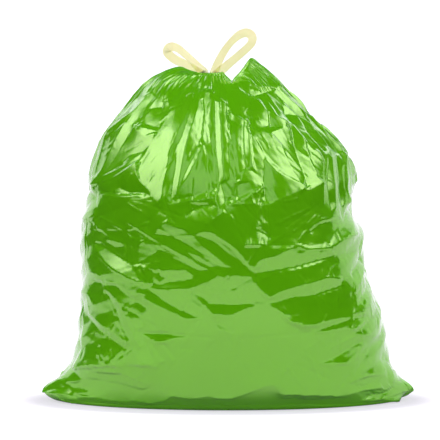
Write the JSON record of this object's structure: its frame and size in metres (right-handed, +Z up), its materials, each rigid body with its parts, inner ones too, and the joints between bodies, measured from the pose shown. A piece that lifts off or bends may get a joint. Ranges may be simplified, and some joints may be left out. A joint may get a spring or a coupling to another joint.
{
  "type": "filled drawstring bin bag",
  "caption": "Filled plastic bin bag standing upright, its pleated mouth drawn shut off centre, with flat drawtape loops standing up in a V and pointed bottom corners.",
  "frame": {"origin": "middle of the bag's box on the floor", "axes": "+Z up; +X along the bottom seam from corner to corner; -Y is the front of the picture, with the drawn mouth on the -X side"},
  "size_m": [0.583, 0.3022, 0.5631],
  "materials": {
    "film": "glossy green polyethylene film, creased",
    "tape": "smooth pale yellow polyethylene tape"
  },
  "bodies": {
    "root": {"bag": "film", "drawtape_left": "tape", "drawtape_right": "tape"}
  },
  "joints": []
}
